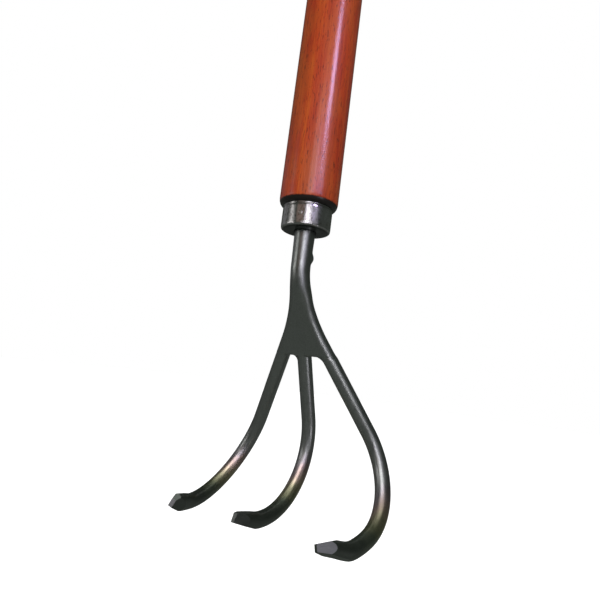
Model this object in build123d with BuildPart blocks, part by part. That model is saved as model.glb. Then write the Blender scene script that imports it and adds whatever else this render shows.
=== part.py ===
"""Three-tine hand cultivator: a hooked, forged steel head whose tang is set in a straight
round wooden handle, behind a drawn steel ferrule.

Millimetres. +Z runs up the handle's axis, -Y is the front, where the tines hook to, and X is
across the tines. The origin is on the handle's axis, where its full-round wall begins just
above the ferrule.
"""

import os
from math import cos, radians, sin, tan

from build123d import *

os.makedirs("parts", exist_ok=True)

# Handle: a straight dowel with a turned-down tenon for the ferrule
handle_radius = 14.25
handle_length = 380.0  # from the origin to the free end
handle_top_round = 8.0
handle_edge_round = 1.2  # broken edge beside the ferrule; the wood ends this far below the origin

# Ferrule: a cup drawn from sheet, with a hole in its bottom for the shank
ferrule_radius = 12.0
ferrule_length = 11.8
ferrule_wall = 1.2
ferrule_corner = 1.0
ferrule_lip = 0.4
ferrule_hole_radius = 5.4
tenon_radius = ferrule_radius - ferrule_wall

# Ferrule pin: a brad through the cup's wall into the tenon
pin_radius = 0.9
pin_depth = 6.0
pin_proud = 0.2
pin_azimuth = 18.0  # degrees round from the front, towards +X
pin_height = -7.0

# Shank: one bar with the tang, bent back below the ferrule
shank_radius = 5.05
neck_radius = 4.7
tang_root_radius = 4.6
tang_tip_radius = 3.0
tang_length = 60.0  # inside the handle, above the origin
set_back = 20.0  # degrees that the head leans back from the handle's axis
bend_radius = 40.0
bend_drop = 22.0  # from the ferrule's bottom face down to the bend's corner
bead_radius = 2.2
bead_sunk = 1.1
bead_azimuth = 124.0
bead_drop = 12.5  # below the ferrule's bottom face

# Web: the flat stretch where the shank spreads into the three tines
web_length = 38.0  # down the head from the bend's corner
web_thickness = 6.8
flare_radius = 70.0  # of the web's edges in front view
flattening_length = 14.0  # over which the round shank becomes flat

# Tines: round bars that fan out from one point inside the web
tine_radius = 3.5
fan_drop = 13.0  # from the bend's corner to the point where the tines' axes meet
spread_left = 26.0
spread_right = 28.5
centre_leg = 57.0  # straight length from the fan point to the hook
side_leg = 67.0
hook_radius = 32.0
foot_length = 14.0
centre_lift = 11.0  # degrees that a foot points above the horizontal
side_lift = 9.0
toe_in = 17.0  # degrees that a side foot points towards the middle

# Ground end of a foot: a short upright edge between two side bevels
grind_length = 13.0
bevel_length = 8.2
edge_thickness = 1.1
edge_low = -0.9  # lower and upper end of the edge, from the bar's axis
edge_high = 1.8

# Places that follow from those
wood_end = -handle_edge_round
ferrule_bottom = wood_end - ferrule_length
bend_corner = Vector(0, 0, ferrule_bottom - bend_drop)
down_head = Vector(0, sin(radians(set_back)), -cos(radians(set_back)))
across = Vector(1, 0, 0)
fan_point = bend_corner + down_head * fan_drop
neck_start = bend_radius * tan(radians(set_back / 2))  # from the bend's corner to either end
bend_start = ferrule_bottom - bend_drop + neck_start
leg_top = web_length - fan_drop - 2 * tine_radius  # a bar starts inside the web and is cut flush


def round_from_front(azimuth: float) -> Vector:
    """Level direction, in degrees round from the front towards +X."""
    return Vector(sin(radians(azimuth)), -cos(radians(azimuth)), 0)


def head_plane(drop: float) -> Plane:
    """Section plane of the head, square to it: x across, y to the front, z down the head."""
    return Plane(origin=bend_corner + down_head * drop, x_dir=across, z_dir=down_head)


def leg_direction(spread: float) -> Vector:
    """Down a tine's straight leg; a negative spread leans to -X."""
    return down_head * cos(radians(spread)) + across * sin(radians(spread))


def foot_direction(lift: float, toe: float) -> Vector:
    """Along a foot to its tip; a positive toe points towards -X."""
    level = cos(radians(lift))
    return Vector(-sin(radians(toe)) * level, -cos(radians(toe)) * level, sin(radians(lift)))


def tine_plane(leg: Vector, foot: Vector) -> Plane:
    """The plane that a tine is bent in: x down its leg, y to the side that it hooks to."""
    return Plane(origin=fan_point, x_dir=leg, z_dir=leg.cross(foot))


def foot_plane(tip: Vector, leg: Vector, foot: Vector) -> Plane:
    """A foot's own frame at its tip: x out of the tip, z up the inside of the hook."""
    return Plane(origin=tip, x_dir=foot, z_dir=leg.cross(foot).cross(foot))


def edge_reach(drop: float, spread: float) -> float:
    """How far the web's edge is from its middle, this far down from the bend's corner.

    The edge leaves the neck on an arc and runs on along the outside of the side tine.
    """
    slope = tan(radians(spread))
    half_bar = tine_radius / cos(radians(spread))
    corner = fan_drop + (neck_radius - half_bar) / slope
    arc_start = corner - flare_radius * tan(radians(spread / 2))
    arc_end = corner + flare_radius * tan(radians(spread / 2)) * cos(radians(spread))
    if drop <= arc_start:
        return neck_radius
    if drop >= arc_end:
        return half_bar + (drop - fan_drop) * slope
    along = drop - arc_start
    return neck_radius + flare_radius - (flare_radius**2 - along**2) ** 0.5


def web_depth(drop: float) -> float:
    """Thickness of the web, easing from the round neck to the flat plate."""
    share = min(drop / flattening_length, 1.0)
    ease = share * share * (3 - 2 * share)
    return 2 * neck_radius + (web_thickness - 2 * neck_radius) * ease


left_leg = leg_direction(-spread_left)
right_leg = leg_direction(spread_right)
left_foot = foot_direction(side_lift, -toe_in)
centre_foot = foot_direction(centre_lift, 0)
right_foot = foot_direction(side_lift, toe_in)

pin_plane = Plane(origin=(0, 0, pin_height), x_dir=(0, 0, 1), z_dir=round_from_front(pin_azimuth))

with BuildPart() as handle:
    with BuildSketch(Plane.XZ):
        with BuildLine():
            Polyline(
                (tang_tip_radius, tang_length),
                (0, tang_length),
                (0, handle_length),
                (handle_radius, handle_length),
                (handle_radius, wood_end),
                (tenon_radius, wood_end),
                (tenon_radius, ferrule_bottom + ferrule_wall),
                (tang_root_radius, ferrule_bottom + ferrule_wall),
                close=True,
            )
        make_face()
    revolve(axis=Axis.Z)
    rims = handle.edges().filter_by(GeomType.CIRCLE).filter_by(lambda e: e.radius > tenon_radius + 1)
    fillet(rims.sort_by(Axis.Z)[-1], handle_top_round)
    rims = handle.edges().filter_by(GeomType.CIRCLE).filter_by(lambda e: e.radius > tenon_radius + 1)
    fillet(rims.sort_by(Axis.Z)[0], handle_edge_round)
    with BuildSketch(pin_plane.offset(tenon_radius - pin_depth + ferrule_wall)):
        Circle(pin_radius)
    extrude(amount=pin_depth, mode=Mode.SUBTRACT)
handle.part.label = "handle"
export_step(handle.part, "parts/handle.step")

with BuildPart() as ferrule:
    with Locations((0, 0, ferrule_bottom)):
        Cylinder(ferrule_radius, ferrule_length, align=(Align.CENTER, Align.CENTER, Align.MIN))
    fillet(ferrule.edges().sort_by(Axis.Z)[0], ferrule_corner)
    fillet(ferrule.edges().sort_by(Axis.Z)[-1], ferrule_lip)
    with Locations((0, 0, wood_end)):
        Cylinder(
            tenon_radius,
            ferrule_length - ferrule_wall,
            align=(Align.CENTER, Align.CENTER, Align.MAX),
            mode=Mode.SUBTRACT,
        )
        Hole(ferrule_hole_radius, ferrule_length)
    with BuildSketch(pin_plane.offset(tenon_radius - ferrule_wall)):
        Circle(pin_radius)
    extrude(amount=3 * ferrule_wall, mode=Mode.SUBTRACT)
ferrule.part.label = "ferrule"
export_step(ferrule.part, "parts/ferrule.step")

with BuildPart() as ferrule_pin:
    with BuildSketch(pin_plane.offset(ferrule_radius - pin_depth)):
        Circle(pin_radius)
    extrude(amount=pin_depth + pin_proud)
    outer_end = ferrule_pin.faces().sort_by(Axis((0, 0, 0), pin_plane.z_dir))[-1]
    fillet(outer_end.edges(), pin_proud * 1.5)
ferrule_pin.part.label = "ferrule_pin"
export_step(ferrule_pin.part, "parts/ferrule_pin.step")

with BuildPart() as shank:
    with BuildSketch(Plane.XZ):
        Polygon(
            (0, tang_length),
            (tang_tip_radius, tang_length),
            (tang_root_radius, ferrule_bottom + ferrule_wall),
            (shank_radius, ferrule_bottom),
            (neck_radius, bend_start),
            (0, bend_start),
            align=None,
        )
    revolve(axis=Axis.Z)
    with BuildLine(Plane.YZ):
        bend = JernArc((0, bend_start), (0, -1), bend_radius, set_back)
    with BuildSketch(Plane(origin=(0, 0, bend_start), z_dir=(0, 0, -1))):
        Circle(neck_radius)
    sweep()
    with Locations(Location(round_from_front(bead_azimuth) * (shank_radius - bead_sunk))):
        with Locations((0, 0, ferrule_bottom - bead_drop)):
            Sphere(bead_radius)
shank.part.label = "shank"
export_step(shank.part, "parts/shank.step")

with BuildPart() as web_plate:
    sections = 8
    for step in range(sections):
        drop = neck_start + (web_length - neck_start) * step / (sections - 1)
        left_reach = edge_reach(drop, spread_left)
        right_reach = edge_reach(drop, spread_right)
        with BuildSketch(head_plane(drop)):
            with Locations(((right_reach - left_reach) / 2, 0)):
                SlotOverall(left_reach + right_reach + 0.01, web_depth(drop))
    loft()
web_plate.part.label = "web_plate"
export_step(web_plate.part, "parts/web_plate.step")

# What grinding takes off a foot: wedges above, below and on both sides, in the foot's own frame
wedge_reach = 2 * tine_radius
with BuildPart() as foot_waste:
    with BuildSketch(Plane.XZ):
        Polygon(
            (-grind_length, tine_radius),
            (-grind_length, wedge_reach),
            (wedge_reach, wedge_reach),
            (wedge_reach, edge_high),
            (0, edge_high),
            align=None,
        )
        Polygon(
            (-grind_length, -tine_radius),
            (-grind_length, -wedge_reach),
            (wedge_reach, -wedge_reach),
            (wedge_reach, edge_low),
            (0, edge_low),
            align=None,
        )
    extrude(amount=wedge_reach, both=True)
    with BuildSketch(Plane.XY):
        Polygon(
            (-bevel_length, tine_radius),
            (-bevel_length, wedge_reach),
            (wedge_reach, wedge_reach),
            (wedge_reach, edge_thickness / 2),
            (0, edge_thickness / 2),
            align=None,
        )
        mirror(about=Plane.XZ)
    extrude(amount=wedge_reach, both=True)

with BuildPart() as left_tine:
    with BuildLine(tine_plane(left_leg, left_foot)):
        leg = Line((leg_top, 0), (side_leg, 0))
        hook = JernArc(leg @ 1, leg % 1, hook_radius, left_leg.get_angle(left_foot))
        foot = Line(hook @ 1, hook @ 1 + (hook % 1) * foot_length)
    with BuildSketch(Plane(origin=fan_point + left_leg * leg_top, z_dir=left_leg)):
        Circle(tine_radius)
    sweep()
    with Locations(foot_plane(foot @ 1, left_leg, left_foot)):
        add(foot_waste.part, mode=Mode.SUBTRACT)
    split(bisect_by=head_plane(web_length), keep=Keep.TOP)
left_tine.part.label = "left_tine"
export_step(left_tine.part, "parts/left_tine.step")

with BuildPart() as centre_tine:
    with BuildLine(tine_plane(down_head, centre_foot)):
        leg = Line((leg_top, 0), (centre_leg, 0))
        hook = JernArc(leg @ 1, leg % 1, hook_radius, down_head.get_angle(centre_foot))
        foot = Line(hook @ 1, hook @ 1 + (hook % 1) * foot_length)
    with BuildSketch(Plane(origin=fan_point + down_head * leg_top, z_dir=down_head)):
        Circle(tine_radius)
    sweep()
    with Locations(foot_plane(foot @ 1, down_head, centre_foot)):
        add(foot_waste.part, mode=Mode.SUBTRACT)
    split(bisect_by=head_plane(web_length), keep=Keep.TOP)
centre_tine.part.label = "centre_tine"
export_step(centre_tine.part, "parts/centre_tine.step")

with BuildPart() as right_tine:
    with BuildLine(tine_plane(right_leg, right_foot)):
        leg = Line((leg_top, 0), (side_leg, 0))
        hook = JernArc(leg @ 1, leg % 1, hook_radius, right_leg.get_angle(right_foot))
        foot = Line(hook @ 1, hook @ 1 + (hook % 1) * foot_length)
    with BuildSketch(Plane(origin=fan_point + right_leg * leg_top, z_dir=right_leg)):
        Circle(tine_radius)
    sweep()
    with Locations(foot_plane(foot @ 1, right_leg, right_foot)):
        add(foot_waste.part, mode=Mode.SUBTRACT)
    split(bisect_by=head_plane(web_length), keep=Keep.TOP)
right_tine.part.label = "right_tine"
export_step(right_tine.part, "parts/right_tine.step")
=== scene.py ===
"""Three-tine hand cultivator: a lacquered wooden handle, a plated ferrule with its pin, and a
forged steel head whose shank flattens into a web and fans out into three hooked tines."""

from math import atan, ceil, cos, hypot, pi, radians, sin, tan

import bmesh
import bpy
import numpy as np
from mathutils import Matrix, Vector


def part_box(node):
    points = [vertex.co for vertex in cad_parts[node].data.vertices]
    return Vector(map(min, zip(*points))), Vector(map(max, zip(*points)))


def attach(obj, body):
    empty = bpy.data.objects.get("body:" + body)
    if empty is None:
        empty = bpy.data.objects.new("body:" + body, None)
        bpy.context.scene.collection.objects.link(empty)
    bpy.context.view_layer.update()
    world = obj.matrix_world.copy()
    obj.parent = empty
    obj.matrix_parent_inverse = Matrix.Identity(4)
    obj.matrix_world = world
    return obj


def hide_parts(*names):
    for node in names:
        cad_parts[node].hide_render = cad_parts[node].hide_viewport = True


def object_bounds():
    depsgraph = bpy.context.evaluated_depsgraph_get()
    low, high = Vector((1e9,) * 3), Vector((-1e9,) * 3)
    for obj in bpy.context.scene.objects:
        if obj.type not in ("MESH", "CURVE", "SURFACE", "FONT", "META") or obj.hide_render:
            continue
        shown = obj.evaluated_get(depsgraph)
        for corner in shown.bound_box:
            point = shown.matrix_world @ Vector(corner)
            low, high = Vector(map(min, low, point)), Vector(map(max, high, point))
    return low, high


MM = 0.001

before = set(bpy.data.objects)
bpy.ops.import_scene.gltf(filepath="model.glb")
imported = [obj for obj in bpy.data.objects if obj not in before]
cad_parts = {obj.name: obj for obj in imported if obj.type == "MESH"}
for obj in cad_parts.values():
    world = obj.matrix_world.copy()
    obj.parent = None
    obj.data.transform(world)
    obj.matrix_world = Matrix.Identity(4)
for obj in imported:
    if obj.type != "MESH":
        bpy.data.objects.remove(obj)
packed_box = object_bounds()

# ---------------------------------------------------------------- sizes, in millimetres

handle_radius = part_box("handle")[1].x / MM
handle_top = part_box("handle")[1].z / MM
handle_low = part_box("handle")[0].z / MM
handle_top_round = 8.0
handle_chamfer_run = 2.1
handle_chamfer_height = 3.6

ferrule_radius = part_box("ferrule")[1].x / MM
ferrule_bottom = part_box("ferrule")[0].z / MM
ferrule_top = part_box("ferrule")[1].z / MM
ferrule_wall = 1.2
ferrule_corner = 1.0
ferrule_corner_run = 2.4
ferrule_groove = 0.12
ferrule_taper = 0.11
ferrule_taper_height = 1.0
ferrule_lip = 0.4
ferrule_hole_radius = 5.4
tenon_radius = ferrule_radius - ferrule_wall

pin_radius = 0.9
pin_depth = 6.0
pin_proud = 0.2
pin_azimuth = 18.0
pin_height = -7.0

shank_radius = 5.05
neck_radius = 4.7
tang_root_radius = 4.6
tang_tip_radius = 3.0
tang_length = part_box("shank")[1].z / MM
set_back = 20.0
bend_radius = 40.0
bend_drop = 22.0
bead_radius = 2.0
bead_sunk = 1.35
bead_azimuth = 124.0
bead_drop = 12.6

web_length = 38.0
web_thickness = 6.8
web_seam = web_length + 0.3
web_edge_round = 3.35
web_trim_right = 0.45
flare_radius = 70.0
flattening_start = 3.0
flattening_length = 14.0

tine_radius = 3.5
fan_drop = 13.0
spread_left = 26.0
spread_right = 28.5
centre_leg = 57.0
side_leg = 67.0
hook_radius = 32.0
foot_length = 14.0
centre_lift = 11.0
side_lift = 9.0
toe_in = 17.0
bevel_length = 8.2
edge_thickness = 1.1
foot_squeeze = 0.25
hammer_lead = 4.0
hammer_fade = 8.0
sag_reach = 6.0
shown_inset = 0.015
foot_trim = 0.22
facet_reach = foot_length + 2.0
low_facet_reach = facet_reach + 6.0
end_facet_reach = 50.0

# A cut with this reach takes in the whole piece
everywhere = 500.0

# ---------------------------------------------------------------- the head's own directions

back = radians(set_back)
across = np.array((1.0, 0.0, 0.0))
front = np.array((0.0, -cos(back), -sin(back)))
down_head = np.array((0.0, sin(back), -cos(back)))
bend_corner = np.array((0.0, 0.0, ferrule_bottom - bend_drop))
neck_start = bend_radius * tan(back / 2)
bend_start = bend_corner[2] + neck_start
fan_point = bend_corner + down_head * fan_drop


def unit(vector):
    """The vector at length 1."""
    return vector / np.linalg.norm(vector)


def ease(share):
    """A share from 0 to 1 that starts and ends gently."""
    share = np.clip(share, 0.0, 1.0)
    return share * share * (3 - 2 * share)


def leg_direction(spread):
    """Down a tine's straight leg; a negative spread leans to -X."""
    return down_head * cos(radians(spread)) + across * sin(radians(spread))


def foot_direction(lift, toe):
    """Along a foot to its tip; a positive toe points towards -X."""
    level = cos(radians(lift))
    return np.array((-sin(radians(toe)) * level, -cos(radians(toe)) * level, sin(radians(lift))))


class Tine:
    """A tine's bent centreline: straight leg, hook arc, straight foot, all in one plane."""

    def __init__(
        self, name, spread, leg_length, lift, toe, heat, fillets, swell, sag, top, low, slant, edge
    ):
        self.name = name
        self.heat, self.fillets, self.swell, self.sag = heat, fillets, swell, sag
        self.edge = edge
        self.top, self.low, self.slant = top, low, slant
        self.leg = leg_direction(spread)
        self.foot = foot_direction(lift, toe)
        self.side = unit(np.cross(self.leg, self.foot))
        self.hook = np.cross(self.side, self.leg)
        self.leg_length = leg_length
        self.turn = np.arccos(np.dot(self.leg, self.foot))
        self.arc_end = np.array((leg_length, 0.0)) + hook_radius * np.array(
            (sin(self.turn), 1 - cos(self.turn))
        )
        self.foot_end = self.arc_end + foot_length * np.array((cos(self.turn), sin(self.turn)))
        self.tip = fan_point + self.leg * self.foot_end[0] + self.hook * self.foot_end[1]
        self.up = np.cross(self.side, self.foot)
        self.length = leg_length + hook_radius * self.turn + foot_length

    def local(self, points):
        """Points in the tine's plane: along the leg, towards the hook, and out of the plane."""
        offset = points - fan_point
        return offset @ self.leg, offset @ self.hook, offset @ self.side

    def centreline(self, points):
        """Distance to the centreline, height above it, and how far down it the nearest point is."""
        a, b, c = self.local(points)
        leg_near = np.clip(a, 0.0, self.leg_length)
        leg_gap = np.hypot(a - leg_near, b)
        ride_a, ride_b = a - self.leg_length, hook_radius - b
        angle = np.arctan2(ride_a, ride_b)
        angle = np.where(angle < -pi / 2, angle + 2 * pi, angle)
        on_arc = (angle >= 0) & (angle <= self.turn)
        arc_gap = np.where(on_arc, np.abs(np.hypot(ride_a, ride_b) - hook_radius), 1e3)
        foot_a, foot_b = a - self.arc_end[0], b - self.arc_end[1]
        foot_near = np.maximum(foot_a * cos(self.turn) + foot_b * sin(self.turn), 0.0)
        foot_gap = np.hypot(
            foot_a - foot_near * cos(self.turn), foot_b - foot_near * sin(self.turn)
        )
        gap = np.minimum(np.minimum(leg_gap, arc_gap), foot_gap)
        nearest = [gap == leg_gap, gap == arc_gap]
        arc_length = hook_radius * self.turn
        along = np.select(
            nearest,
            [leg_near, self.leg_length + hook_radius * angle],
            self.leg_length + arc_length + foot_near,
        )
        foot_height = foot_b * cos(self.turn) - foot_a * sin(self.turn)
        height = np.select(nearest, [b, hook_radius - np.hypot(ride_a, ride_b)], foot_height)
        return np.hypot(gap, c), height, along

    def field(self, points):
        """Signed distance to the bar: round, and hammered a little tall, narrow and low at the
        foot."""
        gap, height, along = self.centreline(points)
        hammered = ease((along - self.length + foot_length + hammer_lead) / hammer_fade)
        lateral = self.local(points)[2]
        beyond = np.sqrt(np.maximum(gap**2 - lateral**2 - height**2, 0.0))
        place, depth = self.sag
        height = height + depth * np.exp(-(((self.length - along - place) / sag_reach) ** 2))
        height = height / (1 + hammered * self.swell / tine_radius)
        lateral = lateral * (1 + hammered * foot_squeeze / tine_radius)
        return np.sqrt(height**2 + lateral**2 + beyond**2) - tine_radius + shown_inset


# For each tine, in millimetres: heat shifts its temper colours along it; fillets are where its -X
# and +X sides leave the web; swell is how much taller the hammered foot is; sag is how far from the
# tip the foot dips, and how deep; top and low are each facet's length and its height at the end;
# slant is how far the end leans back at the top, or at the bottom if negative; edge is its width.
left = Tine(
    "left_tine",
    -spread_left,
    side_leg,
    side_lift,
    -toe_in,
    heat=3.5,
    fillets=(0.0, 0.9),
    swell=0.6,
    sag=(12.0, 0.02),
    top=(2.4, 1.8),
    low=(13.0, -1.7),
    slant=0.0,
    edge=2.0,
)
centre = Tine(
    "centre_tine",
    0.0,
    centre_leg,
    centre_lift,
    0.0,
    heat=3.5,
    fillets=(4.0, 0.7),
    swell=0.1,
    sag=(12.0, 0.15),
    top=(15.0, 2.3),
    low=(18.0, -1.3),
    slant=1.1,
    edge=edge_thickness,
)
right = Tine(
    "right_tine",
    spread_right,
    side_leg,
    side_lift,
    toe_in,
    heat=9.5,
    fillets=(3.6, 0.0),
    swell=-0.2,
    sag=(17.0, 0.8),
    top=(13.5, 1.2),
    low=(13.0, -1.45),
    slant=0.0,
    edge=edge_thickness,
)
tines = (left, centre, right)

# ---------------------------------------------------------------- the forged surface as a field


def smooth_union(a, b, reach):
    """The union of two fields with a fillet where they meet."""
    near = np.maximum(reach - np.abs(a - b), 0.0) / reach
    return np.minimum(a, b) - near * near * reach / 4


def smooth_cut(a, b, reach):
    """The part inside both fields, with its corner rounded."""
    return -smooth_union(-a, -b, reach)


def web_edge(drop, spread):
    """How far out the web's edge is at each drop, and the edge's slope there."""
    slope = tan(radians(spread))
    half_bar = tine_radius / cos(radians(spread))
    corner = fan_drop + (neck_radius - half_bar) / slope
    arc_start = corner - flare_radius * tan(radians(spread / 2))
    arc_end = corner + flare_radius * tan(radians(spread / 2)) * cos(radians(spread))
    along = np.clip(drop - arc_start, 0.0, arc_end - arc_start)
    arc_reach = neck_radius + flare_radius - np.sqrt(flare_radius**2 - along**2)
    arc_slope = along / np.sqrt(flare_radius**2 - along**2)
    straight = drop > arc_end
    reach = np.where(straight, half_bar + (drop - fan_drop) * slope, arc_reach)
    return reach, np.where(straight, slope, arc_slope)


def trimmed(w):
    """Where the web's right edge is drawn in: 1 along it, and 0 at the neck and the seam."""
    return ease((w - neck_start) / 8.0) * ease((web_length + 1.0 - w) / 3.0)


def plate_field(u, v, w):
    """The flattened web, from the round neck down to its lower edge."""
    right_reach, right_slope = web_edge(w, spread_right)
    left_reach, left_slope = web_edge(w, spread_left)
    right_reach = right_reach - web_trim_right * trimmed(w)
    side = np.maximum(
        (u - right_reach) / np.sqrt(1 + right_slope**2),
        (-u - left_reach) / np.sqrt(1 + left_slope**2),
    )
    flat = ease((w - flattening_start) / flattening_length)
    half_depth = neck_radius + (web_thickness / 2 - neck_radius) * flat
    corner = neck_radius + (web_edge_round - neck_radius) * flat
    q = side + corner
    r = np.abs(v) - half_depth + corner
    body = np.minimum(np.maximum(q, r), 0.0) + np.hypot(np.maximum(q, 0), np.maximum(r, 0)) - corner
    return smooth_cut(body, w - web_length, 1.4)


def face_gap(v, w):
    """Distance outside the web's two faces, which end in a short slope at its lower edge."""
    past = w - web_length + 0.6
    limit = web_thickness / 2 + np.maximum(past, 0.0) * 0.7
    return np.where(past > 6.0, -100.0, np.abs(v) - limit)


def head_field(points):
    """Web and tines as one forging."""
    offset = points - bend_corner
    u, v, w = offset @ across, offset @ front, offset @ down_head
    solid = plate_field(u, v, w)
    outside_faces = face_gap(v, w)
    in_depth = 1 - 0.9 * ease((np.abs(v) - 1.2) / 2.0)
    near_notch = ease((w - web_length + 5.0) / 3.0)
    for tine in tines:
        bar = smooth_cut(tine.field(points), outside_faces, 0.3)
        if tine is right:
            bar = bar + web_trim_right * trimmed(w)
        low_x, high_x = tine.fillets
        to_high = ease(0.5 - tine.local(points)[2])
        reach = (low_x + (high_x - low_x) * to_high) * in_depth * near_notch
        solid = smooth_union(solid, bar, 0.12 + reach)
    return solid


def shank_field(points):
    """Tang, neck, bend and the weld bead beside the neck."""
    x, y, z = points[:, 0], points[:, 1], points[:, 2]
    neck_share = np.clip((ferrule_bottom - z) / (ferrule_bottom - bend_start), 0.0, 1.0)
    radius = shank_radius + (neck_radius - shank_radius) * neck_share
    tang_share = np.clip((z - ferrule_bottom - 1.0) / (tang_length - ferrule_bottom), 0.0, 1.0)
    tang = tang_root_radius + (tang_tip_radius - tang_root_radius) * tang_share
    radius = radius + (tang - shank_radius) * ease((z - ferrule_bottom) / 1.2)
    bar = np.hypot(x, y) - radius
    ride_y, ride_z = bend_radius - y, bend_start - z
    turned = np.arctan2(ride_z, ride_y)
    drop = neck_start - bend_radius * (back - np.clip(turned, 0.0, back))
    bend = plate_field(x, np.hypot(ride_y, ride_z) - bend_radius, drop)
    offset = points - bend_corner
    u, v, w = offset @ across, offset @ front, offset @ down_head
    low = plate_field(u, v, w)
    bar = np.where(z > bend_start, bar, np.where(turned < back, bend, low))
    bar = smooth_cut(bar, z - tang_length, 0.6)
    out = shank_radius - bead_sunk
    azimuth = radians(bead_azimuth)
    bead_centre = np.array((out * sin(azimuth), -out * cos(azimuth), ferrule_bottom - bead_drop))
    bead_offset = (points - bead_centre) * np.array((1.0, 1.0, 0.85))
    bead = np.linalg.norm(bead_offset, axis=1) - bead_radius
    return smooth_union(bar, bead, 1.2)


# ---------------------------------------------------------------- from a field to a mesh


def gradient(field, points):
    """The field's gradient at each point, by central differences."""
    reach = 0.01
    slope = np.empty_like(points)
    for axis in range(3):
        step = np.zeros(3)
        step[axis] = reach
        slope[:, axis] = (field(points + step) - field(points - step)) / (2 * reach)
    return slope


def sampled(field, low, high, step):
    """The field on a grid, worked out only near its surface; elsewhere it has the right sign."""
    block = 4
    blocks = [ceil((high[i] - low[i]) / step / block) for i in range(3)]
    coarse_axes = [low[i] + step * block * np.arange(blocks[i] + 1) for i in range(3)]
    coarse_points = np.stack(np.meshgrid(*coarse_axes, indexing="ij"), -1).reshape(-1, 3)
    coarse = field(coarse_points).reshape([n + 1 for n in blocks])
    near = np.abs(coarse) < 2.2 * block * step
    wanted = np.zeros(blocks, bool)
    for i in (0, 1):
        for j in (0, 1):
            for k in (0, 1):
                wanted |= near[i : i + blocks[0], j : j + blocks[1], k : k + blocks[2]]
    shape = [n * block + 1 for n in blocks]
    nearest = [np.minimum(np.arange(n) // block, m) for n, m in zip(shape, blocks)]
    values = coarse[np.ix_(*nearest)].copy()
    offsets = np.stack(np.meshgrid(*[np.arange(block + 1)] * 3, indexing="ij"), -1).reshape(-1, 3)
    cells = (np.argwhere(wanted)[:, None, :] * block + offsets[None]).reshape(-1, 3)
    flat = np.unique(np.ravel_multi_index(cells.T, shape))
    fine = np.stack(np.unravel_index(flat, shape), -1) * step + np.array(low)
    values.reshape(-1)[flat] = field(fine)
    return values


def surface_net(field, low, high, step):
    """The field's surface as (points, quads): one point in each grid cell that it crosses."""
    values = sampled(field, low, high, step)
    shape = np.array(values.shape)
    inside = values < 0
    owners, crossings, quads = [], [], []
    for axis in range(3):
        ahead = [slice(None)] * 3
        behind = [slice(None)] * 3
        ahead[axis], behind[axis] = slice(1, None), slice(None, -1)
        edge_mask = inside[tuple(ahead)] != inside[tuple(behind)]
        other = [i for i in range(3) if i != axis]
        index = np.argwhere(edge_mask)
        for i in other:
            index = index[(index[:, i] > 0) & (index[:, i] < shape[i] - 1)]
        far = index.copy()
        far[:, axis] += 1
        near_value, far_value = values[tuple(index.T)], values[tuple(far.T)]
        place = index.astype(float)
        place[:, axis] += near_value / (near_value - far_value)
        corners = []
        for a, b in ((-1, -1), (0, -1), (0, 0), (-1, 0)):
            cell = index.copy()
            cell[:, other[0]] += a
            cell[:, other[1]] += b
            corners.append(np.ravel_multi_index(cell.T, shape))
            owners.append(corners[-1])
            crossings.append(place)
        quad = np.stack(corners, -1)
        turn_over = (near_value < 0) == (axis == 1)
        quad[turn_over] = quad[turn_over][:, ::-1]
        quads.append(quad)
    owners, crossings, quads = map(np.concatenate, (owners, crossings, quads))
    cells, owner = np.unique(owners, return_inverse=True)
    count = np.bincount(owner, minlength=len(cells))
    points = np.stack(
        [np.bincount(owner, crossings[:, i], len(cells)) / count for i in range(3)], -1
    )
    points = points * step + np.array(low)
    for _ in range(4):
        slope = gradient(field, points)
        length = np.maximum((slope**2).sum(1), 0.05)
        shift = slope * (field(points) / length)[:, None]
        points = points - np.clip(shift, -step, step)
    return points, np.searchsorted(cells, quads)


def cut_flat(shape, point, normal, reach, cap_layer, number):
    """Takes off what lies beyond a plane, within reach of its point, and closes the cut flat."""
    point, normal = Vector(point), Vector(normal).normalized()

    def on_plane(vert):
        return abs((vert.co - point).dot(normal)) < 1e-3 and (vert.co - point).length < reach

    faces = [f for f in shape.faces if (f.calc_center_median() - point).length < reach]
    # Kept in order, since a set of these would be read back differently on each run
    edges = dict.fromkeys(e for f in faces for e in f.edges)
    verts = dict.fromkeys(v for f in faces for v in f.verts)
    geometry = [*verts, *edges, *faces]
    bmesh.ops.bisect_plane(
        shape,
        geom=geometry,
        dist=1e-5,
        plane_co=point,
        plane_no=normal,
        clear_outer=True,
    )
    rim = [e for e in shape.edges if e.is_boundary and all(on_plane(v) for v in e.verts)]
    beside = {}
    for edge in rim:
        for vert in edge.verts:
            beside.setdefault(vert, []).append(edge.other_vert(vert))
    while beside:
        loop = [next(iter(beside))]
        while True:
            ahead = [v for v in beside.pop(loop[-1]) if v in beside]
            if not ahead:
                break
            loop.append(ahead[0])
        if len(loop) > 2:
            shape.faces.new(loop)[cap_layer] = number


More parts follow.
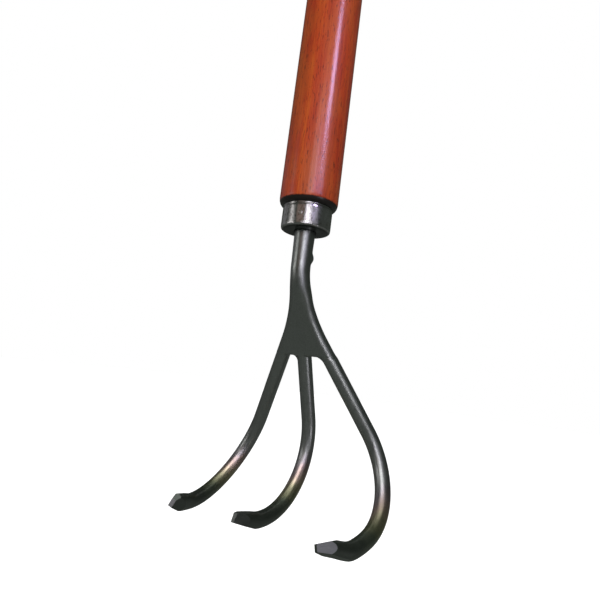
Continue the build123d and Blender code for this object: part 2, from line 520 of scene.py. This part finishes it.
def steel_piece(name, field, low, high, step, cuts, attributes, painted_highlight_caps=()):
    """A piece of the forging: its surface from the field, cut off flat at each plane in cuts."""
    points, quads = surface_net(field, low, high, step)
    mesh = bpy.data.meshes.new(name)
    mesh.from_pydata(points.tolist(), [], quads.tolist())
    shape = bmesh.new()
    shape.from_mesh(mesh)
    cap_layer = shape.faces.layers.int.new("cap")
    for number, (point, normal, reach) in enumerate(cuts, 1):
        cut_flat(shape, point, normal, reach, cap_layer, number)
    loose = [v for v in shape.verts if not v.link_faces]
    bmesh.ops.delete(shape, geom=loose, context="VERTS")
    bmesh.ops.recalc_face_normals(shape, faces=shape.faces[:])
    shape.faces.ensure_lookup_table()
    caps = [face[cap_layer] for face in shape.faces]
    shape.to_mesh(mesh)
    shape.free()
    mesh.attributes.remove(mesh.attributes["cap"])

    count = len(mesh.vertices)
    co = np.empty(count * 3)
    mesh.vertices.foreach_get("co", co)
    co = co.reshape(-1, 3)
    slope = gradient(field, co)
    slope /= np.maximum(np.linalg.norm(slope, axis=1), 1e-9)[:, None]
    for attribute, values in attributes(co).items():
        layer = mesh.attributes.new(attribute, "FLOAT", "POINT")
        layer.data.foreach_set("value", values.astype(np.float32))

    mesh.vertices.foreach_set("co", (co * MM).ravel())
    mesh.update()
    mesh.shade_smooth()
    normals = np.empty((len(mesh.loops), 3))
    for polygon, cap in zip(mesh.polygons, caps):
        # Caps in painted_highlight_caps take the lighter ground steel, a painted highlight
        polygon.material_index = int(cap in painted_highlight_caps)
        for loop in polygon.loop_indices:
            if cap:
                normals[loop] = polygon.normal
            else:
                normals[loop] = slope[mesh.loops[loop].vertex_index]
    mesh.normals_split_custom_set(normals.tolist())
    piece = bpy.data.objects.new(name, mesh)
    bpy.context.scene.collection.objects.link(piece)
    return piece


def tine_cuts(tine):
    """The seam under the web, then the foot's ground facets: end, top, bottom and both sides."""
    side = np.cross(tine.up, tine.foot)
    end_height = tine.top[1] - tine.low[1]
    end = tine.tip - tine.foot * foot_trim
    end_low = end + tine.up * tine.low[1] - tine.foot * max(-tine.slant, 0.0)
    end_high = end + tine.up * tine.top[1] - tine.foot * max(tine.slant, 0.0)
    planes = [(bend_corner + down_head * web_seam, -down_head, everywhere)]
    planes.append((end_low, tine.foot * end_height + tine.up * tine.slant, end_facet_reach))
    half = tine_radius + tine.swell
    length, height = tine.top
    planes.append(
        (end_high, tine.up * (length - tine.slant) + tine.foot * (half - height), facet_reach)
    )
    length, height = tine.low
    planes.append((end_low, -tine.up * length + tine.foot * (half + height), low_facet_reach))
    run = tine_radius - foot_squeeze - tine.edge / 2
    for sign in (1, -1):
        edge = tine.tip + side * sign * tine.edge / 2
        planes.append((edge, side * sign * bevel_length + tine.foot * run, facet_reach))
    return planes


def tine_attributes(tine):
    """Colour bands follow the distance to the tip; the outer side of the bend runs hotter."""

    def values(points):
        _, _, along = tine.centreline(points)
        _, _, c = tine.local(points)
        return {"to_tip": tine.length - along + tine.heat, "aside": c / tine_radius}

    return values


def no_heat(points):
    return {"to_tip": np.full(len(points), 160.0), "aside": np.zeros(len(points))}


def tine_field(tine):
    """The forging near one tine, without its neighbours."""

    def field(points):
        offset = points - bend_corner
        v, w = offset @ front, offset @ down_head
        bar = smooth_cut(tine.field(points), face_gap(v, w), 0.3)
        near_web = w < web_length + 6.0
        solid = bar.copy()
        if near_web.any():
            solid[near_web] = head_field(points[near_web])
            u = offset[near_web] @ across
            w_near = w[near_web]
            for other in tines:
                if other is tine:
                    continue
                split = other_side(tine, other, u, w_near)
                own = solid[near_web]
                solid[near_web] = np.where(split > 0, np.maximum(own, split), own)
        return solid

    return field


def other_side(tine, other, u, w):
    """Above zero past the middle line between two tines."""
    lean = {"left_tine": -spread_left, "centre_tine": 0.0, "right_tine": spread_right}
    middle = (lean[tine.name] + lean[other.name]) / 2
    sign = 1 if lean[other.name] > lean[tine.name] else -1
    line = (w - fan_drop) * tan(radians(middle))
    return sign * (u - line)


def node_region(node, margin):
    """A grid region around a CAD node, in millimetres."""
    low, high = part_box(node)
    return np.array(low) / MM - margin, np.array(high) / MM + margin


web_low, web_high = node_region("web_plate", 2.0)
web = steel_piece(
    "web_plate_forged",
    head_field,
    web_low,
    web_high,
    0.4,
    [
        (bend_corner + down_head * neck_start, -down_head, everywhere),
        (bend_corner + down_head * web_seam, down_head, everywhere),
    ],
    no_heat,
)
shank_low, shank_high = node_region("shank", 2.0)
shank = steel_piece(
    "shank_forged",
    shank_field,
    shank_low,
    shank_high,
    0.35,
    [(bend_corner + down_head * neck_start, down_head, everywhere)],
    no_heat,
)
# By their place in tine_cuts: the left foot's end and the right foot's outer side, which get the
# lighter ground steel as a painted highlight and reflection; the other ground facets keep the
# forged steel
painted_highlight_facets = {"left_tine": (2,), "centre_tine": (), "right_tine": (5,)}
tine_pieces = []
for tine in tines:
    low, high = node_region(tine.name, 2.0)
    tine_pieces.append(
        steel_piece(
            f"{tine.name}_forged",
            tine_field(tine),
            low,
            high,
            0.4,
            tine_cuts(tine),
            tine_attributes(tine),
            painted_highlight_facets[tine.name],
        )
    )

# ---------------------------------------------------------------- turned pieces


def arc_points(centre_r, centre_z, radius, start, end, count):
    """Points on a rounded corner of a turned profile."""
    angles = [radians(start + (end - start) * i / count) for i in range(count + 1)]
    return [(centre_r + radius * cos(a), centre_z + radius * sin(a)) for a in angles]


def turned(name, profile, segments, sharp=35):
    """A closed profile of (radius, height) turned about the z axis."""
    shape = bmesh.new()
    rings = []
    for radius, height in profile:
        if radius < 1e-6:
            rings.append([shape.verts.new((0, 0, height * MM))])
        else:
            rings.append(
                [
                    shape.verts.new(
                        (
                            radius * sin(2 * pi * i / segments) * MM,
                            -radius * cos(2 * pi * i / segments) * MM,
                            height * MM,
                        )
                    )
                    for i in range(segments)
                ]
            )
    for ring, following in zip(rings, rings[1:] + rings[:1]):
        if len(ring) == len(following) == 1:
            continue
        for i in range(segments):
            j = (i + 1) % segments
            if len(ring) == 1:
                shape.faces.new((ring[0], following[j], following[i]))
            elif len(following) == 1:
                shape.faces.new((ring[i], ring[j], following[0]))
            else:
                shape.faces.new((ring[i], ring[j], following[j], following[i]))
    bmesh.ops.recalc_face_normals(shape, faces=shape.faces[:])
    mesh = bpy.data.meshes.new(name)
    shape.to_mesh(mesh)
    shape.free()
    mesh.shade_smooth()
    mesh.set_sharp_from_angle(angle=radians(sharp))
    piece = bpy.data.objects.new(name, mesh)
    bpy.context.scene.collection.objects.link(piece)
    return piece


def steps_between(start, end, count):
    """Evenly spaced points from one profile point up to, but not including, another."""
    return [
        (start[0] + (end[0] - start[0]) * i / count, start[1] + (end[1] - start[1]) * i / count)
        for i in range(count)
    ]


wood_end = ferrule_top
top_round_centre = handle_radius - handle_top_round
handle_profile = (
    [(0.0, tang_length), (0.0, handle_top)]
    + steps_between((handle_radius * 0.2, handle_top), (top_round_centre, handle_top), 2)
    + arc_points(top_round_centre, handle_top - handle_top_round, handle_top_round, 90, 0, 20)
    + steps_between(
        (handle_radius, handle_top - handle_top_round - 4),
        (handle_radius, wood_end + handle_chamfer_height),
        60,
    )
    + [
        (
            handle_radius - handle_chamfer_run * (1 - cos(radians(9 * i))),
            wood_end + handle_chamfer_height * (1 - sin(radians(9 * i))),
        )
        for i in range(11)
    ]
    + [
        (tenon_radius, wood_end),
        (tenon_radius, handle_low),
        (tang_root_radius, handle_low),
        (tang_tip_radius, tang_length),
    ]
)
handle = turned("handle_turned", handle_profile, 160)

ferrule_floor = ferrule_bottom + ferrule_wall
# The groove under the lip: how far down, and the share of its full depth
groove = [(0.35, 0.0), (0.6, 0.5), (0.85, 1.0), (1.1, 0.5)]
ferrule_profile = (
    [(ferrule_hole_radius, ferrule_floor), (tenon_radius, ferrule_floor)]
    + [(tenon_radius, ferrule_top)]
    + arc_points(ferrule_radius - ferrule_lip, ferrule_top - ferrule_lip, ferrule_lip, 90, 0, 6)
    + [
        (ferrule_radius - ferrule_groove * depth, ferrule_top - ferrule_lip - drop)
        for drop, depth in groove
    ]
    + steps_between(
        (ferrule_radius, ferrule_top - ferrule_lip - 1.4),
        (ferrule_radius, ferrule_bottom + ferrule_corner + ferrule_taper_height),
        8,
    )
    + [(ferrule_radius, ferrule_bottom + ferrule_corner + ferrule_taper_height)]
    + [
        (
            ferrule_radius - ferrule_taper - ferrule_corner_run * (1 - cos(radians(6 * i))),
            ferrule_bottom + ferrule_corner * (1 - sin(radians(6 * i))),
        )
        for i in range(16)
    ]
    + arc_points(ferrule_hole_radius + 0.3, ferrule_bottom + 0.3, 0.3, -90, -180, 4)
)
ferrule = turned("ferrule_plated", ferrule_profile, 192)

pin_profile = (
    [(0.0, ferrule_radius - pin_depth), (pin_radius, ferrule_radius - pin_depth)]
    + [(pin_radius, ferrule_radius - 0.3)]
    + arc_points(pin_radius - 0.35, ferrule_radius + pin_proud - 0.35, 0.35, 0, 75, 6)
    + [(0.25, ferrule_radius + pin_proud - 0.005), (0.0, ferrule_radius + pin_proud)]
)
pin = turned("ferrule_pin_head", pin_profile, 40, 60)
pin.data.transform(
    Matrix.Translation((0, 0, pin_height * MM))
    @ Matrix.Rotation(radians(pin_azimuth), 4, "Z")
    @ Matrix.Rotation(radians(90), 4, "X")
)

# ---------------------------------------------------------------- materials


class Look:
    """A node material under construction, with short ways to add the nodes used here."""

    def __init__(self, name):
        self.made = bpy.data.materials.new(name)
        self.made.use_nodes = True
        self.nodes = self.made.node_tree.nodes
        self.links = self.made.node_tree.links
        self.shader = self.nodes["Principled BSDF"]
        self.place = None

    def set(self, **values):
        """Constant values on the shader's sockets, by name with _ for a space."""
        for socket, value in values.items():
            value = (*value, 1) if isinstance(value, tuple) else value
            self.shader.inputs[socket.replace("_", " ")].default_value = value

    def drive(self, socket, output):
        self.links.new(output, self.shader.inputs[socket])

    def position(self):
        """The point being shaded, in millimetres in the object's own frame."""
        if self.place is None:
            coordinates = self.nodes.new("ShaderNodeTexCoord")
            scale = self.nodes.new("ShaderNodeVectorMath")
            scale.operation = "SCALE"
            scale.inputs["Scale"].default_value = 1 / MM
            self.links.new(coordinates.outputs["Object"], scale.inputs[0])
            self.place = scale.outputs["Vector"]
        return self.place

    def separate(self, vector):
        node = self.nodes.new("ShaderNodeSeparateXYZ")
        self.links.new(vector, node.inputs[0])
        return node.outputs

    def attribute(self, name):
        node = self.nodes.new("ShaderNodeAttribute")
        node.attribute_name = name
        return node.outputs["Fac"]

    def math(self, operation, a, b=None, clamp=False):
        node = self.nodes.new("ShaderNodeMath")
        node.operation = operation
        node.use_clamp = clamp
        for socket, value in zip(node.inputs, (a, b)):
            if value is None:
                continue
            if isinstance(value, (int, float)):
                socket.default_value = value
            else:
                self.links.new(value, socket)
        return node.outputs[0]

    def noise(self, per_mm, detail=2.0, roughness=0.5, distortion=0.0, seed=0.0):
        """Noise from 0 to 1, with its frequency along each axis."""
        mapping = self.nodes.new("ShaderNodeMapping")
        mapping.inputs["Scale"].default_value = per_mm
        mapping.inputs["Location"].default_value = (seed, seed * 1.7, seed * 0.6)
        self.links.new(self.position(), mapping.inputs["Vector"])
        node = self.nodes.new("ShaderNodeTexNoise")
        node.inputs["Scale"].default_value = 1.0
        node.inputs["Detail"].default_value = detail
        node.inputs["Roughness"].default_value = roughness
        node.inputs["Distortion"].default_value = distortion
        self.links.new(mapping.outputs[0], node.inputs["Vector"])
        return node.outputs["Fac"]

    def span(self, value, low, high, low_out=0.0, high_out=1.0):
        """The value's share of the way from low to high, eased, as another range."""
        node = self.nodes.new("ShaderNodeMapRange")
        node.interpolation_type = "SMOOTHSTEP"
        node.inputs["From Min"].default_value = low
        node.inputs["From Max"].default_value = high
        node.inputs["To Min"].default_value = low_out
        node.inputs["To Max"].default_value = high_out
        self.links.new(value, node.inputs["Value"])
        return node.outputs[0]

    def ramp(self, value, stops):
        """Colours at places from 0 to 1."""
        node = self.nodes.new("ShaderNodeValToRGB")
        elements = node.color_ramp.elements
        while len(elements) < len(stops):
            elements.new(0.5)
        for element, (place, colour) in zip(elements, stops):
            element.position = place
            element.color = (*colour, 1)
        self.links.new(value, node.inputs["Fac"])
        return node.outputs["Color"]

    def mix(self, share, a, b, blend="MIX"):
        node = self.nodes.new("ShaderNodeMix")
        node.data_type = "RGBA"
        node.blend_type = blend
        for socket, value in ((node.inputs[0], share), (node.inputs[6], a), (node.inputs[7], b)):
            if isinstance(value, tuple):
                socket.default_value = (*value, 1)
            elif isinstance(value, (int, float)):
                socket.default_value = value
            else:
                self.links.new(value, socket)
        return node.outputs[2]

    def bump(self, height, depth_mm, socket="Normal", under=None):
        """Relief of that depth, on the shader's normal or its coat's."""
        node = self.nodes.new("ShaderNodeBump")
        node.inputs["Strength"].default_value = 1.0
        node.inputs["Distance"].default_value = depth_mm * MM
        self.links.new(height, node.inputs["Height"])
        if under is not None:
            self.links.new(under, node.inputs["Normal"])
        self.drive(socket, node.outputs["Normal"])
        return node.outputs["Normal"]


def lacquered_wood():
    """Straight-grained hardwood under an orange-red varnish, with an end-grain stain and painted
    shade darkening its lower rim.
    """
    look = Look("lacquered_wood")
    _, _, z = look.separate(look.position())
    fibres = look.noise((1.6, 1.6, 0.07), detail=4, roughness=0.6)
    bands = look.noise((0.22, 0.22, 0.012), detail=2, distortion=0.4, seed=3.0)
    blotches = look.noise((0.07, 0.07, 0.03), detail=2, seed=9.0)
    pores = look.noise((2.0, 2.0, 0.30), detail=2, seed=5.0)
    tone = look.math("ADD", look.math("MULTIPLY", fibres, 0.5), look.math("MULTIPLY", bands, 0.5))
    colour = look.ramp(
        tone,
        [
            (0.32, (0.240, 0.018, 0.004)),
            (0.45, (0.380, 0.034, 0.006)),
            (0.56, (0.470, 0.058, 0.008)),
            (0.70, (0.560, 0.110, 0.012)),
        ],
    )
    colour = look.mix(look.span(blotches, 0.40, 0.65, 0.0, 0.45), colour, (0.46, 0.105, 0.012))
    colour = look.mix(look.span(pores, 0.59, 0.68, 0.0, 0.75), colour, (0.080, 0.012, 0.004))
    # The lower rim's near-black band: partly end-grain stain, partly painted shade on the
    # downward-facing chamfer.
    ragged = look.math("ADD", z, look.math("MULTIPLY", fibres, 0.9))
    rim_stain_and_shade = look.span(ragged, wood_end + 2.9, wood_end + 2.2)
    colour = look.mix(rim_stain_and_shade, colour, (0.010, 0.006, 0.004))
    look.drive("Base Color", colour)
    look.set(Roughness=0.45, Specular_IOR_Level=0.35)
    look.set(Coat_Weight=0.75, Coat_Roughness=0.13, Coat_IOR=1.5)
    turning = look.noise((0.25, 0.25, 2.2), detail=3, seed=2.0)
    rings, raised = look.math("MULTIPLY", turning, 0.7), look.math("MULTIPLY", fibres, 0.5)
    look.bump(look.math("ADD", rings, raised), 0.05)
    rings, swells = look.math("MULTIPLY", turning, 0.8), look.math("MULTIPLY", blotches, 0.6)
    waves = look.math("ADD", rings, swells)
    look.bump(waves, 0.07, socket="Coat Normal")
    return look.made


def plated():
    """Bright plating, dulled by handling, with painted shade in the groove under its lip and on its
    underside.
    """
    look = Look("ferrule_plating")
    _, _, z = look.separate(look.position())
    smears = look.noise((0.35, 0.35, 0.12), detail=3, seed=4.0)
    specks = look.noise((1.6, 1.6, 1.1), detail=2, seed=1.0)
    dents = look.noise((0.16, 0.16, 0.10), detail=1, seed=7.0)
    # Painted shade: the underside fades to near black, standing in for the shade and dark
    # reflection under the ferrule.
    under = look.span(z, ferrule_bottom + 0.55, ferrule_bottom + 0.1)
    # Painted shade: a darker band in the groove under the lip, where shade falls.
    groove_painted_shade = look.span(z, ferrule_top - 1.7, ferrule_top - 0.9)
    groove_painted_shade = look.math("MULTIPLY", groove_painted_shade, look.span(z, ferrule_top - 0.4, ferrule_top - 0.8))
    colour = look.ramp(smears, [(0.3, (0.50, 0.49, 0.48)), (0.7, (0.72, 0.71, 0.71))])
    colour = look.mix(look.span(specks, 0.54, 0.68, 0.0, 0.65), colour, (0.17, 0.12, 0.10))
    colour = look.mix(look.math("MULTIPLY", groove_painted_shade, 0.45), colour, (0.10, 0.09, 0.08))
    colour = look.mix(look.math("MULTIPLY", under, 0.96), colour, (0.018, 0.020, 0.018))
    look.drive("Base Color", colour)
    look.drive("Roughness", look.span(smears, 0.3, 0.7, 0.16, 0.26))
    look.set(Metallic=1.0)
    relief = look.math("ADD", smears, look.math("MULTIPLY", dents, 4.0))
    look.bump(look.math("ADD", relief, look.math("MULTIPLY", specks, 0.5)), 0.05)
    return look.made


def pin_steel():
    look = Look("pin_bright_steel")
    look.set(Base_Color=(0.82, 0.82, 0.80), Metallic=1.0)
    look.drive("Roughness", look.span(look.noise((4, 4, 4)), 0.3, 0.7, 0.15, 0.35))
    return look.made


def forged_steel():
    """Blackened steel with temper colours where each hook was heated for bending, their straw and
    pink band also made brighter as a painted highlight.
    """
    look = Look("forged_steel_tempered_painted_highlight")
    scale = look.noise((0.25, 0.25, 0.25), detail=4, roughness=0.6)
    fine = look.noise((1.8, 1.8, 1.8), detail=3, seed=6.0)
    to_tip = look.attribute("to_tip")
    aside = look.attribute("aside")
    wander = look.math("MULTIPLY", look.math("SUBTRACT", scale, 0.5), 10.0)
    heat = look.math("ADD", to_tip, wander)
    heat = look.math("ADD", heat, look.math("MULTIPLY", aside, 4.0))
    share = look.math("DIVIDE", heat, 120.0, clamp=True)
    # The straw and pink stops are lighter than the rest of the steel: temper colour, and a painted
    # highlight where the hooks catch the light.
    colour = look.ramp(
        share,
        [
            (0.00, (0.200, 0.210, 0.200)),
            (0.22, (0.220, 0.240, 0.215)),
            (0.29, (0.290, 0.320, 0.250)),
            (0.34, (0.430, 0.420, 0.270)),
            (0.39, (0.620, 0.550, 0.380)),
            (0.43, (0.680, 0.530, 0.430)),
            (0.47, (0.540, 0.410, 0.390)),
            (0.51, (0.440, 0.400, 0.430)),
            (0.56, (0.420, 0.430, 0.425)),
            (1.00, (0.430, 0.450, 0.435)),
        ],
    )
    soot = look.span(fine, 0.35, 0.7, 0.0, 0.15)
    colour = look.mix(soot, colour, (0.05, 0.052, 0.05), "MULTIPLY")
    look.drive("Base Color", colour)
    look.drive("Roughness", look.span(scale, 0.3, 0.7, 0.28, 0.38))
    look.set(Metallic=1.0)
    relief = look.math("ADD", scale, look.math("MULTIPLY", fine, 0.05))
    look.bump(relief, 0.02)
    return look.made


def ground_steel_painted_highlight():
    """The facets ground on the feet, with the wheel's scratches, in a light lilac grey that paints
    the highlight and reflection of the two facets that catch the light.
    """
    look = Look("ground_steel_painted_highlight")
    scratches = look.noise((0.6, 0.5, 7.0), detail=3, roughness=0.7)
    colour = look.ramp(scratches, [(0.3, (0.60, 0.58, 0.64)), (0.7, (0.80, 0.78, 0.84))])
    look.drive("Base Color", colour)
    look.set(Metallic=1.0, Roughness=0.4)
    look.bump(scratches, 0.02)
    return look.made


def pale_floor():
    """Pale to the eye, and a mid grey to everything that the floor is mirrored in or lights."""
    look = Look("floor_pale")
    seen = look.nodes.new("ShaderNodeLightPath").outputs["Is Camera Ray"]
    look.drive("Base Color", look.mix(seen, (0.062, 0.068, 0.062), (0.96, 0.96, 0.96)))
    look.set(Roughness=0.9, Specular_IOR_Level=0.0)
    return look.made


steel, ground = forged_steel(), ground_steel_painted_highlight()
for piece in [web, shank, *tine_pieces]:
    piece.data.materials.append(steel)
# Only the facets in painted_highlight_facets use this second material, as a painted highlight
for piece in tine_pieces:
    piece.data.materials.append(ground)
handle.data.materials.append(lacquered_wood())
ferrule.data.materials.append(plated())
pin.data.materials.append(pin_steel())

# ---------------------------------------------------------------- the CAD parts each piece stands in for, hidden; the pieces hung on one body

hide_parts("handle")
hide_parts("ferrule")
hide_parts("ferrule_pin")
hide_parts("shank")
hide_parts("web_plate")
for tine, piece in zip(tines, tine_pieces):
    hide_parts(tine.name)
for piece in [handle, ferrule, pin, web, shank, *tine_pieces]:
    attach(piece, "root")

# ---------------------------------------------------------------- floor, camera and light

floor_drop = 0.25
floor_mesh = bpy.data.meshes.new("floor")
floor_shape = bmesh.new()
bmesh.ops.create_grid(floor_shape, x_segments=1, y_segments=1, size=8)
floor_shape.to_mesh(floor_mesh)
floor_shape.free()
floor = bpy.data.objects.new("floor", floor_mesh)
floor.location.z = packed_box[0].z - floor_drop
bpy.context.scene.collection.objects.link(floor)
floor_mesh.materials.append(pale_floor())

camera_data = bpy.data.cameras.new("camera")
camera_data.lens = 29.5
camera_data.sensor_width = 36
camera_data.clip_start = 0.01
camera = bpy.data.objects.new("camera", camera_data)
look = Vector((-0.54072, 0.82767, 0.15029)).normalized()
image_down = Vector((0.02333, 0.19334, -0.98085))
image_right = image_down.cross(look).normalized()
image_up = image_right.cross(look).normalized()
camera.matrix_world = Matrix.Translation((0.12680, -0.19103, -0.08085)) @ Matrix(
    (image_right, image_up, -look)
).transposed().to_4x4()
bpy.context.scene.collection.objects.link(camera)
bpy.context.scene.camera = camera

# From each lamp to what it is aimed from, in metres
light_distance = 0.9


def soft_light(name, azimuth, elevation, width, height, brightness, aim, colour):
    """A soft box that fills width by height degrees as seen from aim, in that direction: azimuth
    from the front towards +X, elevation above the horizon."""
    light = bpy.data.lights.new(name, "AREA")
    light.shape = "RECTANGLE"
    light.size = 2 * light_distance * tan(radians(width / 2))
    light.size_y = 2 * light_distance * tan(radians(height / 2))
    light.energy = brightness * pi * light.size * light.size_y
    light.color = colour
    lamp = bpy.data.objects.new(name, light)
    a, e = radians(azimuth), radians(elevation)
    away = Vector((sin(a) * cos(e), -cos(a) * cos(e), sin(e)))
    lamp.location = Vector(aim) + away * light_distance
    lamp.rotation_mode = "QUATERNION"
    lamp.rotation_quaternion = away.to_track_quat("Z", "Y")
    bpy.context.scene.collection.objects.link(lamp)
    return lamp


def only_on(lamp, pieces):
    """Keeps a light to some of the pieces, as a flag in front of the lamp would."""
    lamp.light_linking.receiver_collection = bpy.data.collections.new(lamp.name + "_lights")
    for piece in pieces:
        lamp.light_linking.receiver_collection.objects.link(piece)


ferrule_middle = (0, 0, (ferrule_bottom + ferrule_top) / 2 * MM)
hooks_middle = (0, -0.01, -0.12)
violet, rose, brown = (0.95, 0.91, 1.0), (0.68, 0.56, 1.0), (1.0, 0.62, 0.50)
# name, azimuth, elevation, width and height in degrees, brightness, what it is aimed from, colour
boxes = [
    ("front_box", 35, 19, 20, 24, 2.2, ferrule_middle, violet),
    ("front_accent", 37, 5.5, 44, 4, 3.0, ferrule_middle, violet),
    ("right_wash", 66, 18, 26, 22, 0.34, ferrule_middle, (0.88, 0.84, 1.0)),
    ("left_box", -41, 16, 11, 20, 0.65, ferrule_middle, (1, 0.97, 0.97)),
    ("left_soft", -44, 15, 34, 24, 0.20, ferrule_middle, (1, 0.97, 0.97)),
    ("left_accent", -44, 5.5, 34, 4, 2.2, ferrule_middle, (1, 0.97, 0.97)),
    ("left_wash", -88, 15, 36, 26, 0.13, ferrule_middle, violet),
    ("front_gap", 2, 18, 30, 24, 0.17, ferrule_middle, brown),
    ("low_right", 80, -16, 20, 18, 1.9, hooks_middle, violet),
]
for box in boxes:
    soft_light(*box)
head_pieces = [web, *tine_pieces]
white, greenish, lilac = (1, 1, 1), (0.92, 1, 0.95), (0.84, 0.78, 1.0)
# The same, then the pieces it falls on
kept_boxes = [
    ("right_strip", 67, 35, 11, 13, 18.5, (0, 0, 0.03), rose, [handle, ferrule]),
    ("handle_wash", 60, 21, 36, 14, 3.6, (0, 0, 0.01), rose, [handle]),
    ("hook_box", 8, 47, 36, 42, 2.3, hooks_middle, white, tine_pieces),
    ("hook_top", 8, 82, 60, 34, 0.6, hooks_middle, greenish, head_pieces),
    ("leg_wash", 58, 10, 26, 20, 0.4, hooks_middle, white, tine_pieces),
    ("shank_wash", 53, 12, 28, 30, 0.75, ferrule_middle, lilac, [shank]),
]
for *box, pieces in kept_boxes:
    only_on(soft_light(*box), pieces)
# These two light the matt surfaces and are never mirrored
fill = soft_light("fill", 14, 22, 36, 36, 3.6, ferrule_middle, white)
fill.visible_glossy = False
back_fill = soft_light("back_fill", 188, 24, 50, 50, 1.1, ferrule_middle, white)
back_fill.visible_glossy = False
floor_light = bpy.data.objects.new("floor_light", bpy.data.lights.new("floor_light", "SUN"))
floor_light.data.energy = 3.3
floor_light.data.angle = radians(3)
floor_light.visible_glossy = False
bpy.context.scene.collection.objects.link(floor_light)

world = bpy.data.worlds.new("studio")
bpy.context.scene.world = world
world.use_nodes = True
sky = world.node_tree
rays = sky.nodes.new("ShaderNodeLightPath").outputs
seen = rays["Is Camera Ray"]
dimmed = sky.nodes.new("ShaderNodeMix")
dimmed.data_type = "RGBA"
dimmed.inputs[7].default_value = (0.048, 0.056, 0.048, 1)
sky.links.new(rays["Is Glossy Ray"], dimmed.inputs[0])
tone = sky.nodes.new("ShaderNodeMix")
tone.data_type = "RGBA"
tone.inputs[6].default_value = (0.20, 0.20, 0.20, 1)
tone.inputs[7].default_value = (1.0, 1.0, 1.0, 1)
sky.links.new(seen, tone.inputs[0])
sky.links.new(tone.outputs[2], dimmed.inputs[6])
sky.links.new(dimmed.outputs[2], sky.nodes["Background"].inputs["Color"])
bpy.context.scene.view_settings.view_transform = "Standard"
